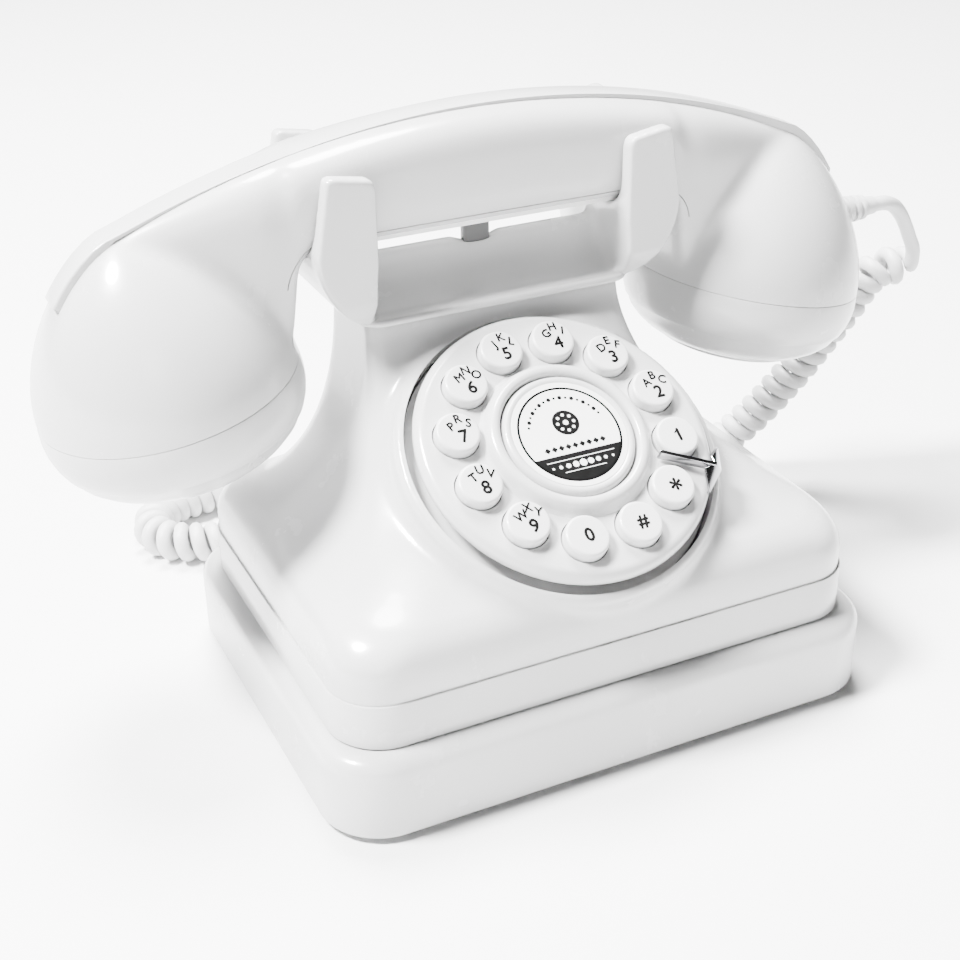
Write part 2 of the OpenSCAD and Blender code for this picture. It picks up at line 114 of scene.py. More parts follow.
def drawLine(name, points):
    # one point pulled along by extruding it, left in edit mode
    chooseOnly()
    bpy.ops.mesh.primitive_plane_add(size=mm)
    line = bpy.context.object
    line.name = name
    startEdit(line)
    bpy.ops.mesh.select_all(action="SELECT")
    bpy.ops.mesh.merge(type="CENTER")
    bpy.ops.transform.translate(value=points[0] * mm)
    for before, after in zip(points, points[1:]):
        bpy.ops.mesh.extrude_region_move(
            TRANSFORM_OT_translate={"value": (after - before) * mm})
    return line


def closeUp():
    bpy.ops.mesh.select_all(action="SELECT")
    bpy.ops.mesh.remove_doubles(threshold=0.002 * mm)
    bpy.ops.mesh.normals_make_consistent(inside=False)


def turned(name, profile, steps=96):
    # profile is a list of (radius, height)
    drawLine(name, [Vector((r, 0, z)) for r, z in profile])
    bpy.ops.mesh.select_all(action="SELECT")
    bpy.ops.mesh.spin(steps=steps, angle=2 * math.pi, center=(0, 0, 0), axis=(0, 0, 1))
    closeUp()
    return endEdit()


def bar(name, outline, depth, matrix=None):
    # outline is a list of (x, y), pulled along z from 0 to depth
    drawLine(name, [Vector((x, y, 0)) for x, y in outline])
    bpy.ops.mesh.select_all(action="SELECT")
    bpy.ops.mesh.edge_face_add()
    bpy.ops.mesh.extrude_region_move(TRANSFORM_OT_translate={"value": (0, 0, depth * mm)})
    closeUp()
    piece = endEdit()
    return settle(piece, matrix) if matrix else piece


def block(name, low, high):
    chooseOnly()
    bpy.ops.mesh.primitive_cube_add(size=mm)
    piece = bpy.context.object
    piece.name = name
    startEdit(piece)
    bpy.ops.mesh.select_all(action="SELECT")
    size = Vector(high) - Vector(low)
    bpy.ops.transform.resize(value=size, center_override=(0, 0, 0))
    bpy.ops.transform.translate(value=(Vector(high) + Vector(low)) / 2 * mm)
    return endEdit()


def rod(name, radius, low, high, at=(0, 0), sides=48):
    chooseOnly()
    bpy.ops.mesh.primitive_cylinder_add(vertices=sides, radius=radius * mm, depth=(high - low) * mm,
                                        location=(at[0] * mm, at[1] * mm, (low + high) / 2 * mm))
    piece = bpy.context.object
    piece.name = name
    return settle(piece, Matrix.Identity(4))


def settle(piece, matrix):
    # the place goes into the mesh and the object stays at the origin
    chooseOnly(piece)
    piece.matrix_world = matrix @ piece.matrix_world
    bpy.ops.object.transform_apply(location=True, rotation=True, scale=True)
    return piece


def finishWith(piece, kind, **settings):
    chooseOnly(piece)
    step = piece.modifiers.new(kind.title(), kind)
    for setting, value in settings.items():
        setattr(step, setting, value)
    bpy.ops.object.modifier_apply(modifier=step.name)
    return piece


def joined(name, *parts):
    chooseOnly(*parts)
    if len(parts) > 1:
        bpy.ops.object.join()
    piece = bpy.context.object
    piece.name = name
    return piece


def cut(piece, cutter, how="DIFFERENCE", solver="EXACT"):
    finishWith(piece, "BOOLEAN", operation=how, object=cutter, solver=solver)
    bpy.data.objects.remove(cutter, do_unlink=True)
    return piece


def copied(piece, name):
    chooseOnly(piece)
    bpy.ops.object.duplicate()
    other = bpy.context.object
    other.name = name
    return other


def smoothShade(piece, angle=32):
    chooseOnly(piece)
    bpy.ops.object.shade_smooth_by_angle(angle=math.radians(angle))
    return piece


def moulded(piece, voxel, fill, rounds, factor=0.5):
    # fuses overlapping shapes, fills their inner corners to a radius and smooths the skin
    finishWith(piece, "REMESH", mode="VOXEL", voxel_size=voxel * mm)
    if fill:
        finishWith(piece, "DISPLACE", strength=fill * mm, mid_level=0)
        finishWith(piece, "REMESH", mode="VOXEL", voxel_size=voxel * mm)
        finishWith(piece, "SMOOTH", factor=0.5, iterations=6)
        finishWith(piece, "DISPLACE", strength=-fill * mm, mid_level=0)
        finishWith(piece, "REMESH", mode="VOXEL", voxel_size=voxel * mm)
    finishWith(piece, "SMOOTH", factor=factor, iterations=rounds)
    return piece


def closeFoot(piece, height):
    # puts a face on the open loop at this height
    startEdit(piece)
    pickVerts(lambda p: abs(p.z - height) < 0.003)
    bpy.ops.mesh.edge_face_add()
    closeUp()
    return endEdit()


def cutFlat(piece, point, normal):
    # keeps the side that the normal points to and closes the cut
    startEdit(piece)
    bpy.ops.mesh.select_all(action="SELECT")
    bpy.ops.mesh.bisect(plane_co=Vector(point) * mm, plane_no=normal, use_fill=True,
                        clear_inner=True, clear_outer=False)
    return endEdit()


def onCircle(x, z, radius, degrees):
    angle = math.radians(degrees)
    return x + radius * math.cos(angle), z + radius * math.sin(angle)


def arc(x, z, radius, start, stop, steps):
    return [onCircle(x, z, radius, start + (stop - start) * i / steps) for i in range(steps + 1)]


# Materials.

class Graph:
    def __init__(self, material):
        material.use_nodes = True
        self.tree = material.node_tree
        self.tree.nodes.clear()

    def node(self, kind, settings=None, **sockets):
        made = self.tree.nodes.new("ShaderNode" + kind)
        for setting, value in (settings or {}).items():
            setattr(made, setting, value)
        for socket, value in sockets.items():
            self.feed(made.inputs[socket.replace("_", " ")], value)
        return made

    def feed(self, socket, value):
        if isinstance(value, Level):
            self.tree.links.new(value.socket, socket)
        elif isinstance(value, bpy.types.NodeSocket):
            self.tree.links.new(value, socket)
        else:
            socket.default_value = value

    def level(self, socket):
        return Level(self, socket)

    def blend(self, amount, first, second):
        mixer = self.node("Mix", {"data_type": "RGBA"})
        self.feed(mixer.inputs["Factor"], amount)
        self.feed(mixer.inputs["A"], first)
        self.feed(mixer.inputs["B"], second)
        return mixer.outputs["Result"]


class Level:
    # a number that varies over the surface
    def __init__(self, graph, socket):
        self.graph = graph
        self.socket = socket

    def maths(self, operation, first, second):
        made = self.graph.node("Math", {"operation": operation})
        self.graph.feed(made.inputs[0], first)
        self.graph.feed(made.inputs[1], second)
        return Level(self.graph, made.outputs[0])

    def __add__(self, other):
        return self.maths("ADD", self, other)

    __radd__ = __add__

    def __mul__(self, other):
        return self.maths("MULTIPLY", self, other)

    __rmul__ = __mul__

    def above(self, limit):
        return self.maths("GREATER_THAN", self, limit)


def newGraph(name):
    material = bpy.data.materials.new(name)
    return material, Graph(material)


def patches(graph, scale, detail=3.0, roughness=0.5, stretch=None):
    where = graph.node("TexCoord").outputs["Object"]
    if stretch:
        where = graph.node("Mapping", Vector=where, Scale=stretch).outputs["Vector"]
    noise = graph.node("TexNoise", Vector=where, Scale=scale, Detail=detail, Roughness=roughness)
    return graph.level(noise.outputs["Fac"])


def finishGraph(graph, colour, rough, height=None, bumpDepth=0.0, **fixed):
    shader = graph.node("BsdfPrincipled", Base_Color=colour, Roughness=rough, **fixed)
    if height is not None:
        bump = graph.node("Bump", Height=height, Strength=1.0, Distance=bumpDepth)
        graph.feed(shader.inputs["Normal"], bump.outputs["Normal"])
    graph.node("OutputMaterial", Surface=shader.outputs["BSDF"])


def glossPlastic(name, look):
    material, graph = newGraph(name)
    cloud = patches(graph, look["cloud"], 2.0)
    wipe = patches(graph, look["wipe"], 4.0, 0.6)
    speck = patches(graph, look["speck"], 1.0, 0.4)
    peel = patches(graph, look["peel"], 1.5)
    tone = graph.blend(cloud, (*look["dark"], 1), (*look["light"], 1))
    marks = speck.above(look["speckLimit"]) * 0.4
    tone = graph.blend(marks, tone, (0.22, 0.21, 0.19, 1))
    rough = wipe * look["roughSwing"] + look["rough"]
    finishGraph(graph, tone, rough, peel, look["peelDepth"] * mm,
                IOR=1.5, Coat_Weight=look["coat"], Coat_Roughness=0.06)
    return material


whiteLook = {
    "dark": (0.49, 0.49, 0.49), "light": (0.57, 0.57, 0.57),
    "cloud": 18, "wipe": 60, "speck": 520, "speckLimit": 0.86, "peel": 420, "peelDepth": 0.012,
    "rough": 0.17, "roughSwing": 0.16, "coat": 0.35,
}
keyLook = dict(whiteLook, rough=0.24, coat=0.2,
               light=(0.66, 0.66, 0.66), dark=(0.58, 0.58, 0.58))
cordLook = dict(whiteLook, rough=0.36, coat=0.0,
                light=(0.58, 0.58, 0.58), dark=(0.51, 0.51, 0.51))


def mattePlastic(name, dark, light, scale, rough, swing, grain, bend=1.46):
    material, graph = newGraph(name)
    tone = graph.blend(patches(graph, scale, 3.0), (*dark, 1), (*light, 1))
    wear = patches(graph, scale * 3.1, 5.0, 0.65)
    finishGraph(graph, tone, wear * swing + rough, patches(graph, grain, 3.0), 0.02 * mm, IOR=bend)
    return material


def polishedMetal(name, dark, light, rough, swing, scratch):
    material, graph = newGraph(name)
    tone = graph.blend(patches(graph, 90, 3.0), (*dark, 1), (*light, 1))
    lines = patches(graph, scratch, 6.0, 0.7, stretch=(1, 1, 14))
    finishGraph(graph, tone, lines * swing + rough, lines, 0.002 * mm, Metallic=1.0)
    return material


def circuitBoard(name):
    material, graph = newGraph(name)
    where = graph.node("TexCoord").outputs["Object"]
    tracks = graph.node("TexBrick", Vector=where, Scale=260.0, Mortar_Size=0.012)
    copper = graph.level(tracks.outputs["Fac"])
    tone = graph.blend(copper, (0.02, 0.16, 0.06, 1), (0.10, 0.32, 0.13, 1))
    tone = graph.blend(patches(graph, 140).above(0.68) * 0.5, tone, (0.01, 0.10, 0.04, 1))
    finishGraph(graph, tone, copper * 0.1 + 0.35, copper, 0.03 * mm)
    return material


def rubberFinish(name, dark, light):
    material, graph = newGraph(name)
    tone = graph.blend(patches(graph, 70), (*dark, 1), (*light, 1))
    finishGraph(graph, tone, patches(graph, 200) * 0.2 + 0.6, patches(graph, 1600), 0.03 * mm)
    return material


white = glossPlastic("glossWhite", whiteLook)
keyWhite = glossPlastic("keyWhite", keyLook)
cordWhite = glossPlastic("cordWhite", cordLook)
ink = mattePlastic("blackInk", (0.002, 0.002, 0.002), (0.006, 0.006, 0.006),
                   300, 0.6, 0.2, 900, 1.12)
# near-black plastic for the hook plunger: painted shade, standing in for the shade in the notch
# under the handset
notchShadePlastic = mattePlastic("notchShadePlastic", (0.05, 0.05, 0.05), (0.08, 0.08, 0.08),
                          90, 0.4, 0.15, 600)
paleInk = mattePlastic("paleInk", (0.74, 0.74, 0.73), (0.80, 0.80, 0.79),
                       300, 0.35, 0.15, 900)
darkPlastic = mattePlastic("darkPlastic", (0.018, 0.018, 0.019), (0.034, 0.033, 0.032),
                           120, 0.45, 0.15, 700)
greyPlastic = mattePlastic("greyPlastic", (0.16, 0.16, 0.16), (0.22, 0.22, 0.22),
                           90, 0.4, 0.15, 600)
castIron = mattePlastic("castIron", (0.10, 0.10, 0.11), (0.17, 0.165, 0.16),
                        160, 0.6, 0.2, 500)
chrome = polishedMetal("chrome", (0.36, 0.36, 0.37), (0.46, 0.46, 0.47), 0.07, 0.1, 120)
steel = polishedMetal("zincSteel", (0.50, 0.50, 0.49), (0.62, 0.61, 0.60), 0.28, 0.2, 200)
blackRubber = rubberFinish("blackRubber", (0.016, 0.016, 0.016), (0.034, 0.034, 0.034))
greyRubber = rubberFinish("greyRubber", (0.34, 0.34, 0.33), (0.44, 0.44, 0.43))
boardGreen = circuitBoard("circuitBoard")
print("materials made")


def dress(piece, *finishes):
    piece.data.materials.clear()
    for finish in finishes:
        piece.data.materials.append(finish)
    return piece


def addPiece(piece, body, slot, *nodes, angle=32):
    smoothShade(piece, angle)
    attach(piece, body)
    if nodes:
        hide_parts(*nodes)
    return piece


# Camera.

cameraView = {
    "at": (-168.43, -329.42, 256.0),
    "right": (0.90341, -0.42877, 0.0), "up": (0.20597, 0.43398, 0.87705),
    "back": (-0.37606, -0.79234, 0.48038), "roll": -0.8, "lens": 59.757,
}


def addCamera(view):
    roll = math.radians(view["roll"])
    right, up = Vector(view["right"]), Vector(view["up"])
    across = math.cos(roll) * right + math.sin(roll) * up
    upward = -math.sin(roll) * right + math.cos(roll) * up
    lens = bpy.data.cameras.new("camera")
    lens.lens = view["lens"]
    lens.sensor_width = 36
    lens.clip_start, lens.clip_end = 0.01, 50
    camera = bpy.data.objects.new("camera", lens)
    bpy.context.scene.collection.objects.link(camera)
    turn = Matrix((across, upward, Vector(view["back"]))).transposed().to_4x4()
    camera.matrix_world = shifted(*view["at"]) @ turn
    bpy.context.scene.camera = camera


addCamera(cameraView)
print("camera placed")


# Cord: a lead, a long run of coils and a tail, all one wire.

cordShape = {
    "wire": 4.4, "turnRadius": 3.9, "pitch": 4.8, "pointsPerTurn": 18, "sides": 10,
    "blendFrom": (100, 60, 15), "blendTo": (138.5, 31, 95),
    "lead": [(129.6, 26.5, 100.4), (134, 26.5, 100.3), (138, 27, 98.6), (141.8, 27.9, 95),
             (145.2, 29.1, 90.6), (148.2, 30.2, 86), (150.8, 31.0, 81.6)],
    "coil": [(153.2, 36, 74), (148.7, 37, 74.4), (144.4, 38.4, 73.6), (140.8, 40, 69.8),
             (137.3, 41.5, 63.4), (133.2, 43, 56.8), (129, 45.2, 49.4), (124.4, 47.5, 41.4),
             (120.6, 49.8, 35), (115.7, 52.4, 27.6), (110.6, 55.4, 20.6), (104.5, 58.8, 13.8),
             (97, 62.6, 8.6), (88, 66.4, 6.4), (76, 70.2, 6.1), (62, 73.6, 6.1), (44, 77, 6.1),
             (24, 79.8, 6.1), (4, 81.4, 6.1), (-18, 82, 6.1), (-36, 82.3, 6.1), (-52, 83.2, 6.1),
             (-65, 85.8, 6.1), (-74, 91.2, 6.1), (-77, 99, 6.1), (-74.4, 106.6, 6.1),
             (-66.5, 112, 6.1), (-54, 114.4, 6.1), (-40, 114.4, 6.1), (-26, 112.5, 6.1)],
    "tail": [(-20, 111.4, 6.3), (-12, 108.6, 7.6), (-4, 104, 10.2), (2, 98, 13),
             (5, 91, 14.8), (5.2, 84, 15.2), (4.6, 79, 14.4), (4, 74.2, 12.5)],
}


def smoothRun(points, spacing):
    # an even run of points on a soft curve through the given ones
    points = [Vector(p) for p in points]
    ends = [2 * points[0] - points[1]] + points + [2 * points[-1] - points[-2]]
    fine = []
    for a, b, c, d in zip(ends, ends[1:], ends[2:], ends[3:]):
        for i in range(24):
            t = i / 24
            fine.append(0.5 * (2 * b + (c - a) * t + (2 * a - 5 * b + 4 * c - d) * t * t
                               + (3 * b - a - 3 * c + d) * t ** 3))
    fine.append(points[-1])
    length = sum((q - p).length for p, q in zip(fine, fine[1:]))
    count = max(2, round(length / spacing))
    even, gone, step = [fine[0]], 0.0, length / count
    for p, q in zip(fine, fine[1:]):
        reach = (q - p).length
        while gone + reach >= step and len(even) < count:
            p = p + (q - p) * ((step - gone) / reach)
            even.append(p)
            reach = (q - p).length
            gone = 0.0
        gone += reach
    even.append(fine[-1])
    return even, length


def cordLine(shape):
    centre, length = smoothRun(shape["coil"], shape["pitch"] / shape["pointsPerTurn"])
    turns = round(length / shape["pitch"])
    out = Vector((0, -1, 0))
    wound = []
    for i, point in enumerate(centre):
        ahead = (centre[min(i + 1, len(centre) - 1)] - centre[max(i - 1, 0)]).normalized()
        out = (out - ahead * out.dot(ahead)).normalized()
        side = ahead.cross(out)
        share = i / (len(centre) - 1)
        angle = 2 * math.pi * turns * share
        radius = shape["turnRadius"] * min(1, (1 - share) * turns / 1.2)
        wound.append(point + radius * (math.cos(angle) * out + math.sin(angle) * side))
    lead, _ = smoothRun(shape["lead"] + [tuple(wound[1])], 1.2)
    tail, _ = smoothRun([tuple(wound[-1])] + shape["tail"], 1.2)
    return lead[:-1] + wound[1:-1] + tail


def addCord(shape):
    line = [p * mm for p in cordLine(shape)]
    curve = bpy.data.curves.new("curlyCord", "CURVE")
    curve.dimensions = "3D"
    curve.bevel_depth = shape["wire"] / 2 * mm
    curve.bevel_resolution = (shape["sides"] - 4) // 2
    curve.use_fill_caps = True
    spline = curve.splines.new("POLY")
    spline.points.add(len(line) - 1)
    for point, at in zip(spline.points, line):
        point.co = (*at, 1)
    cord = bpy.data.objects.new("curlyCord", curve)
    bpy.context.scene.collection.objects.link(cord)
    chooseOnly(cord)
    bpy.ops.object.convert(target="MESH")
    cord = bpy.context.object
    smoothShade(dress(cord, cordWhite), 60)
    length = sum((b - a).length for a, b in zip(line, line[1:]))
    print("cord length", round(length, 3))
    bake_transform(cord)
    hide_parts("cord_lead", "cord_coil", "cord_tail")
    return cord, line, length


cord, cordPath, cordLength = addCord(cordShape)


# Strain reliefs at both ends of the cord.

reliefShape = {
    "exit": (112.5, 26.5, 100.4),
    "profile": [(0, -4), (2.9, -4), (2.9, 5.4), (3.4, 5.6), (3.4, 6.6), (3.9, 6.8), (4.0, 7.4),
                (3.9, 8.1), (2.7, 8.4), (2.7, 9.0), (3.8, 9.3), (3.9, 9.9), (3.8, 10.5),
                (2.65, 10.8), (2.65, 11.4), (3.6, 11.7), (3.7, 12.3), (3.6, 12.9), (2.9, 13.3),
                (2.75, 15), (2.6, 16.9), (2.3, 17.1), (0, 17.1)],
}
glandShape = {
    "exit": (4, 59.5, 12.5),
    "profile": [(0, -4.3), (4.5, -4.3), (4.5, -2.5), (3, -2.5), (3, 0.1), (4, 0.1), (4, 1.2),
                (3.6, 1.6), (3.4, 4), (3.1, 4.3), (3.1, 5.2), (3.3, 5.5), (3.2, 7), (2.9, 7.3),
                (2.9, 8.2), (3.1, 8.5), (3.0, 10), (2.8, 10.4), (2.6, 14.6), (2.3, 14.8),
                (0, 14.8)],
}


def addRelief(name, shape, matrix, body, node):
    relief = turned(name, shape["profile"], 40)
    settle(relief, shifted(*shape["exit"]) @ matrix)
    dress(relief, cordWhite)
    return addPiece(relief, body, "shell", node, angle=40)


handsetRelief = addRelief("handsetRelief", reliefShape, spun(90, "Y"),
                          "handset", "handset_strain_relief")
baseRelief = addRelief("baseRelief", glandShape, spun(-90, "X"), "base", "base_strain_relief")
print("cord made")


# Lower tray and housing.

def growRings(name, rings, cornerSteps=8):
    # rings: (height, half width, front, back, corner radius), each one pulled up from the last
    height, wide, front, back, corner = rings[0]
    chooseOnly()
    bpy.ops.mesh.primitive_plane_add(size=2 * mm)
    piece = bpy.context.object
    piece.name = name
    startEdit(piece)
    bpy.ops.mesh.select_all(action="SELECT")
    deep, middle = (back - front) / 2, (back + front) / 2
    bpy.ops.transform.resize(value=(wide, deep, 1), center_override=(0, 0, 0))
    bpy.ops.transform.translate(value=place(0, middle, height))
    bpy.ops.mesh.bevel(offset=corner * mm, segments=cornerSteps, affect="VERTICES")
    for ring in rings[1:]:
        newHeight, newWide, newFront, newBack, newCorner = ring
        newDeep, newMiddle = (newBack - newFront) / 2, (newBack + newFront) / 2
        pickVerts(lambda p: abs(p.z - height) < 0.003)
        bpy.ops.mesh.extrude_region_move(
            TRANSFORM_OT_translate={"value": place(0, newMiddle - middle, newHeight - height)})
        bpy.ops.transform.resize(value=(newWide / wide, newDeep / deep, 1),
                                 center_override=place(0, newMiddle, newHeight))
        across, along = corner * newWide / wide, corner * newDeep / deep
        for sideX in (-1, 1):
            for sideY in (-1, 1):
                pickVerts(lambda p: abs(p.z - newHeight) < 0.003
                          and p.x * sideX > newWide - across - 0.01
                          and (p.y - newMiddle) * sideY > newDeep - along - 0.01)
                bpy.ops.transform.resize(
                    value=(newCorner / across, newCorner / along, 1),
                    center_override=place(newWide * sideX, newMiddle + newDeep * sideY, newHeight))
        height, wide, deep, middle, corner = newHeight, newWide, newDeep, newMiddle, newCorner
    return endEdit()


trayShape = {
    "wide": 76.5, "deep": 59.5, "corner": 16, "under": 1.5, "top": 22.9, "edge": 4.6, "foot": 1.0,
    "wall": 2.4, "ledge": 7.6, "feet": (60, 44), "footHole": 6.3, "screwHole": 3.1,
    "screws": [(58, -22), (-58, -22), (58, 24), (-58, 24)],
    "grille": (-36, 34), "grilleStep": 5, "grilleHole": 1.0,
    "jack": ((26.9, 50, 6.4), (41.1, 66, 16.8)), "glandHole": 3.05,
}


def addTray(shape):
    rings = []
    for r, z in arc(0, 0, shape["foot"], -90, 0, 4):
        inset = shape["foot"] - r
        rings.append((shape["under"] + shape["foot"] + z, inset))
    for r, z in arc(0, 0, shape["edge"], 0, 90, 9):
        rings.append((shape["top"] - shape["edge"] + z, shape["edge"] - r))
    rings = [(z, shape["wide"] - i, -shape["deep"] + i, shape["deep"] - i, shape["corner"] - i)
             for z, i in rings]
    tray = growRings("baseTray", rings, 12)
    startEdit(tray, "FACE")
    pickFaces(lambda p, n: p.z > shape["top"] - 0.01)
    bpy.ops.mesh.inset(thickness=shape["ledge"] * mm)
    bpy.ops.mesh.delete(type="FACE")
    bpy.ops.mesh.select_mode(type="EDGE")
    bpy.ops.mesh.select_non_manifold()
    pickVerts(lambda p: abs(p.z - shape["under"]) < 0.003)
    bpy.ops.mesh.edge_face_add()
    bpy.ops.mesh.select_all(action="SELECT")
    bpy.ops.mesh.normals_make_consistent(inside=False)
    endEdit()
    finishWith(tray, "SOLIDIFY", thickness=shape["wall"] * mm, offset=-1, use_even_offset=True)
    tools = []
    for x in (-1, 1):
        for y in (-1, 1):
            at = (x * shape["feet"][0], y * shape["feet"][1])
            tools.append(rod("tool", shape["footHole"], -1, 2.8, at))
    for at in shape["screws"]:
        tools.append(rod("tool", shape["screwHole"], -1, 4.6, at, 32))
    x, y = shape["grille"]
    step = shape["grilleStep"]
    for i in range(-2, 3):
        for j in range(-2, 3):
            if i * i + j * j < 6:
                at = (x + step * i, y + step * j)
                tools.append(rod("tool", shape["grilleHole"], -1, 6, at, 16))
    tools.append(block("tool", *shape["jack"]))
    bore = rod("tool", shape["glandHole"], -10, 10, sides=32)
    tools.append(settle(bore, shifted(*glandShape["exit"]) @ upright))
    cut(tray, joined("tools", *tools))
    dress(tray, white)
    return addPiece(tray, "base", "shell", "base_tray")


addTray(trayShape)
print("tray made")

dial = {"at": (0, -24.6, 76.6), "tilt": 33.3, "keyRing": 28.1}
dialPlace = shifted(*dial["at"]) @ spun(dial["tilt"], "X")

housingShape = {
    "foot": 22.9, "band": 35.2, "step": 0.55, "shoulder": 12, "upright": 5,
    "wide": 72, "deep": 54, "corner": 14, "neckWide": 36, "neckDeep": 14.5, "neckY": 26.5,
    "neckTop": 99.5, "neckCorner": 4, "cornerSwell": 36, "lifts": (60, 63, 72),
    "wall": 2.4, "levels": 26, "under": 6, "bossRadius": 42.0, "bossTop": -4.9, "bossEdge": 1.2,
    "voxel": 0.8, "fill": 2.2, "rounds": 4, "well": 39.9,
}


def sweepOut(shape, z, foot, neck, lift):
    # upright foot, round shoulder, then a curve that ends upright at the neck
    lift = math.radians(lift)
    start = shape["band"] + shape["upright"]
    if z <= start:
        return foot
    r = shape["shoulder"]
    z0 = start + r * math.sin(lift)
    w0 = foot - r + r * math.cos(lift)
    if z <= z0:
        return foot - r + math.sqrt(r ** 2 - (z - start) ** 2)
    z1 = z0 + (w0 - neck) / math.tan(lift)
    a, b = z0 - 2 * z1 + shape["neckTop"], 2 * (z1 - z0)
    t = (math.sqrt(b * b - 4 * a * (z0 - z)) - b) / (2 * a)
    return neck + (w0 - neck) * (1 - t) ** 2


def housingRing(shape, z, inset):
    middle, neck, small = shape["neckY"], shape["neckWide"], shape["neckCorner"]
    sideLift, frontLift, backLift = shape["lifts"]
    wide = sweepOut(shape, z, shape["wide"], neck, sideLift)
    front = sweepOut(shape, z, shape["deep"] + middle, shape["neckDeep"], frontLift)
    back = sweepOut(shape, z, shape["deep"] - middle, shape["neckDeep"], backLift)
    s = (wide - neck) / (shape["wide"] - neck)
    corner = small + (shape["corner"] - small) * s + shape["cornerSwell"] * s * (1 - s)
    return (z, wide - inset, middle - front + inset, middle + back - inset,
            max(corner - inset, 1.5))


def addHousing(shape):
    band, foot, top = shape["band"], shape["foot"], shape["neckTop"]
    start = band + shape["upright"]
    count = shape["levels"]
    levels = [start + (top - start) * (i / count) ** 1.2 for i in range(count + 1)]
    outer = [housingRing(shape, z, shape["step"] * max(0, 1 - (z - band) / 20))
             for z in [band - shape["under"]] + levels]
    upper = closeFoot(growRings("upperHousing", outer, 10), band - shape["under"])
    edge, r, t = shape["bossEdge"], shape["bossRadius"], shape["bossTop"]
    boss = turned("boss", [(0, -24), (r, -24), (r, t - edge)]
                  + arc(r - edge, t - edge, edge, 0, 90, 5)[1:] + [(0, t)], 96)
    settle(boss, dialPlace)
    cut(boss, block("tool", (-60, -60, 0), (60, 60, 38)))
    upper = moulded(joined("upperHousing", upper, boss),
                    shape["voxel"], shape["fill"], shape["rounds"])
    cutFlat(upper, (0, 0, band), (0, 0, 1))
    cutFlat(upper, (0, 0, top - 0.3), (0, 0, -1))
    steps = ((foot, 0.5), (foot + 0.5, 0), (band - 0.35, 0), (band - 0.1, 0.1), (band, 0.4))
    lower = growRings("band", [housingRing(shape, z, inset) for z, inset in steps], 12)
    upper = cut(upper, closeFoot(lower, foot), "UNION")
    inside = [foot - 2] + [z for z in levels[::3] if z < top - 4] + [top - 4.5]
    hollow = growRings("tool", [housingRing(shape, z, shape["wall"]) for z in inside], 6)
    cut(upper, closeFoot(hollow, foot - 2))
    cut(upper, block("tool", (-29, 18, 90), (29, 35, 106)))
    well = turned("tool", [(0, -40), (shape["well"], -40), (shape["well"], 0), (0, 0)], 128)
    cut(upper, settle(well, dialPlace))
    dress(upper, white)
    return addPiece(upper, "base", "shell", "upper_housing", angle=38)


addHousing(housingShape)
print("housing made")


# Dial: cup, plate, hub, keys and stop.

bezelShape = {
    "profile": [(26, -15), (39.4, -15), (39.4, -8.8), (34.7, -8.8), (34.6, -13), (26, -13),
                (26, -15)],
}
plateShape = {"radius": 38.1, "edge": 2.6, "thick": 4.2, "keyHole": 5.95, "inner": 33}
hubRingShape = {
    "profile": [(17.5, 0), (17.5, 2.3), (17.8, 2.9), (18.3, 3.2), (18.9, 3.35), (19.6, 3.2),
                (20.2, 2.8), (20.7, 2.1), (21.1, 1.2), (21.5, 0.45), (22.0, 0.1), (22.3, -0.2),
                (17.5, -0.2), (17.5, 0)],
}
hubCapShape = {
    "profile": [(0, 2.7), (14.9, 2.7), (15.1, 2.85), (15.6, 3.0), (16.1, 2.95), (16.6, 2.6),
                (16.9, 2.0), (17.0, 1.3), (17.0, -0.2), (0, -0.2)],
}


def keySpot(k):
    return onCircle(0, 0, dial["keyRing"], 30 * k - 15)


def addDialBody():
    bezel = settle(turned("dialBezel", bezelShape["profile"]), dialPlace)
    addPiece(dress(bezel, white), "base", "shell", "dial_bezel")
    r, e, t = plateShape["radius"], plateShape["edge"], plateShape["thick"]
    rim = arc(r - e, -e, e, 90, 0, 9) + arc(r - 1.0, 1.0 - t, 1.0, 0, -90, 4)
    under = [(34.4, -t), (34.3, -9.2), (plateShape["inner"], -9.2), (plateShape["inner"], -2.6)]
    plate = turned("dialPlate", [(0, 0)] + rim + under + [(0, -2.6)], 128)
    for k in range(12):
        cut(plate, rod("tool", plateShape["keyHole"], -5, 3, keySpot(k), 64))
    addPiece(dress(settle(plate, dialPlace), white), "base", "shell", "dial_plate")
    ring = settle(turned("hubRing", hubRingShape["profile"], 128), dialPlace)
    addPiece(dress(ring, white), "base", "shell", "hub_ring", angle=50)
    cap = settle(turned("hubCap", hubCapShape["profile"], 128), dialPlace)
    addPiece(dress(cap, white), "base", "shell", "hub_cap", angle=50)


addDialBody()
print("dial made")


def word(text, height, at, lean=0.0, bold=0.0, lift=0.03):
    # flat printed sign, at in the plane of the dial or key, thickened by copies set side by side
    chooseOnly()
    bpy.ops.object.text_add()
    sign = bpy.context.object
    sign.data.body = text
    sign.data.size = height / 0.7 * mm
    sign.data.align_x = "CENTER"
    sign.data.align_y = "CENTER"
    sign.data.extrude = 0.05 * mm
    sign.data.resolution_u = 4
    bpy.ops.object.convert(target="MESH")
    sign = bpy.context.object
    strokes = [sign]
    for step, (dx, dy) in enumerate(((-bold, 0), (bold, 0), (0, -bold), (0, bold))):
        strokes.append(settle(copied(sign, "stroke"), shifted(dx, dy, 0.003 * (step + 1))))
    sign = joined("sign", *strokes)
    return settle(sign, shifted(at[0], at[1], lift) @ spun(lean, "Z"))


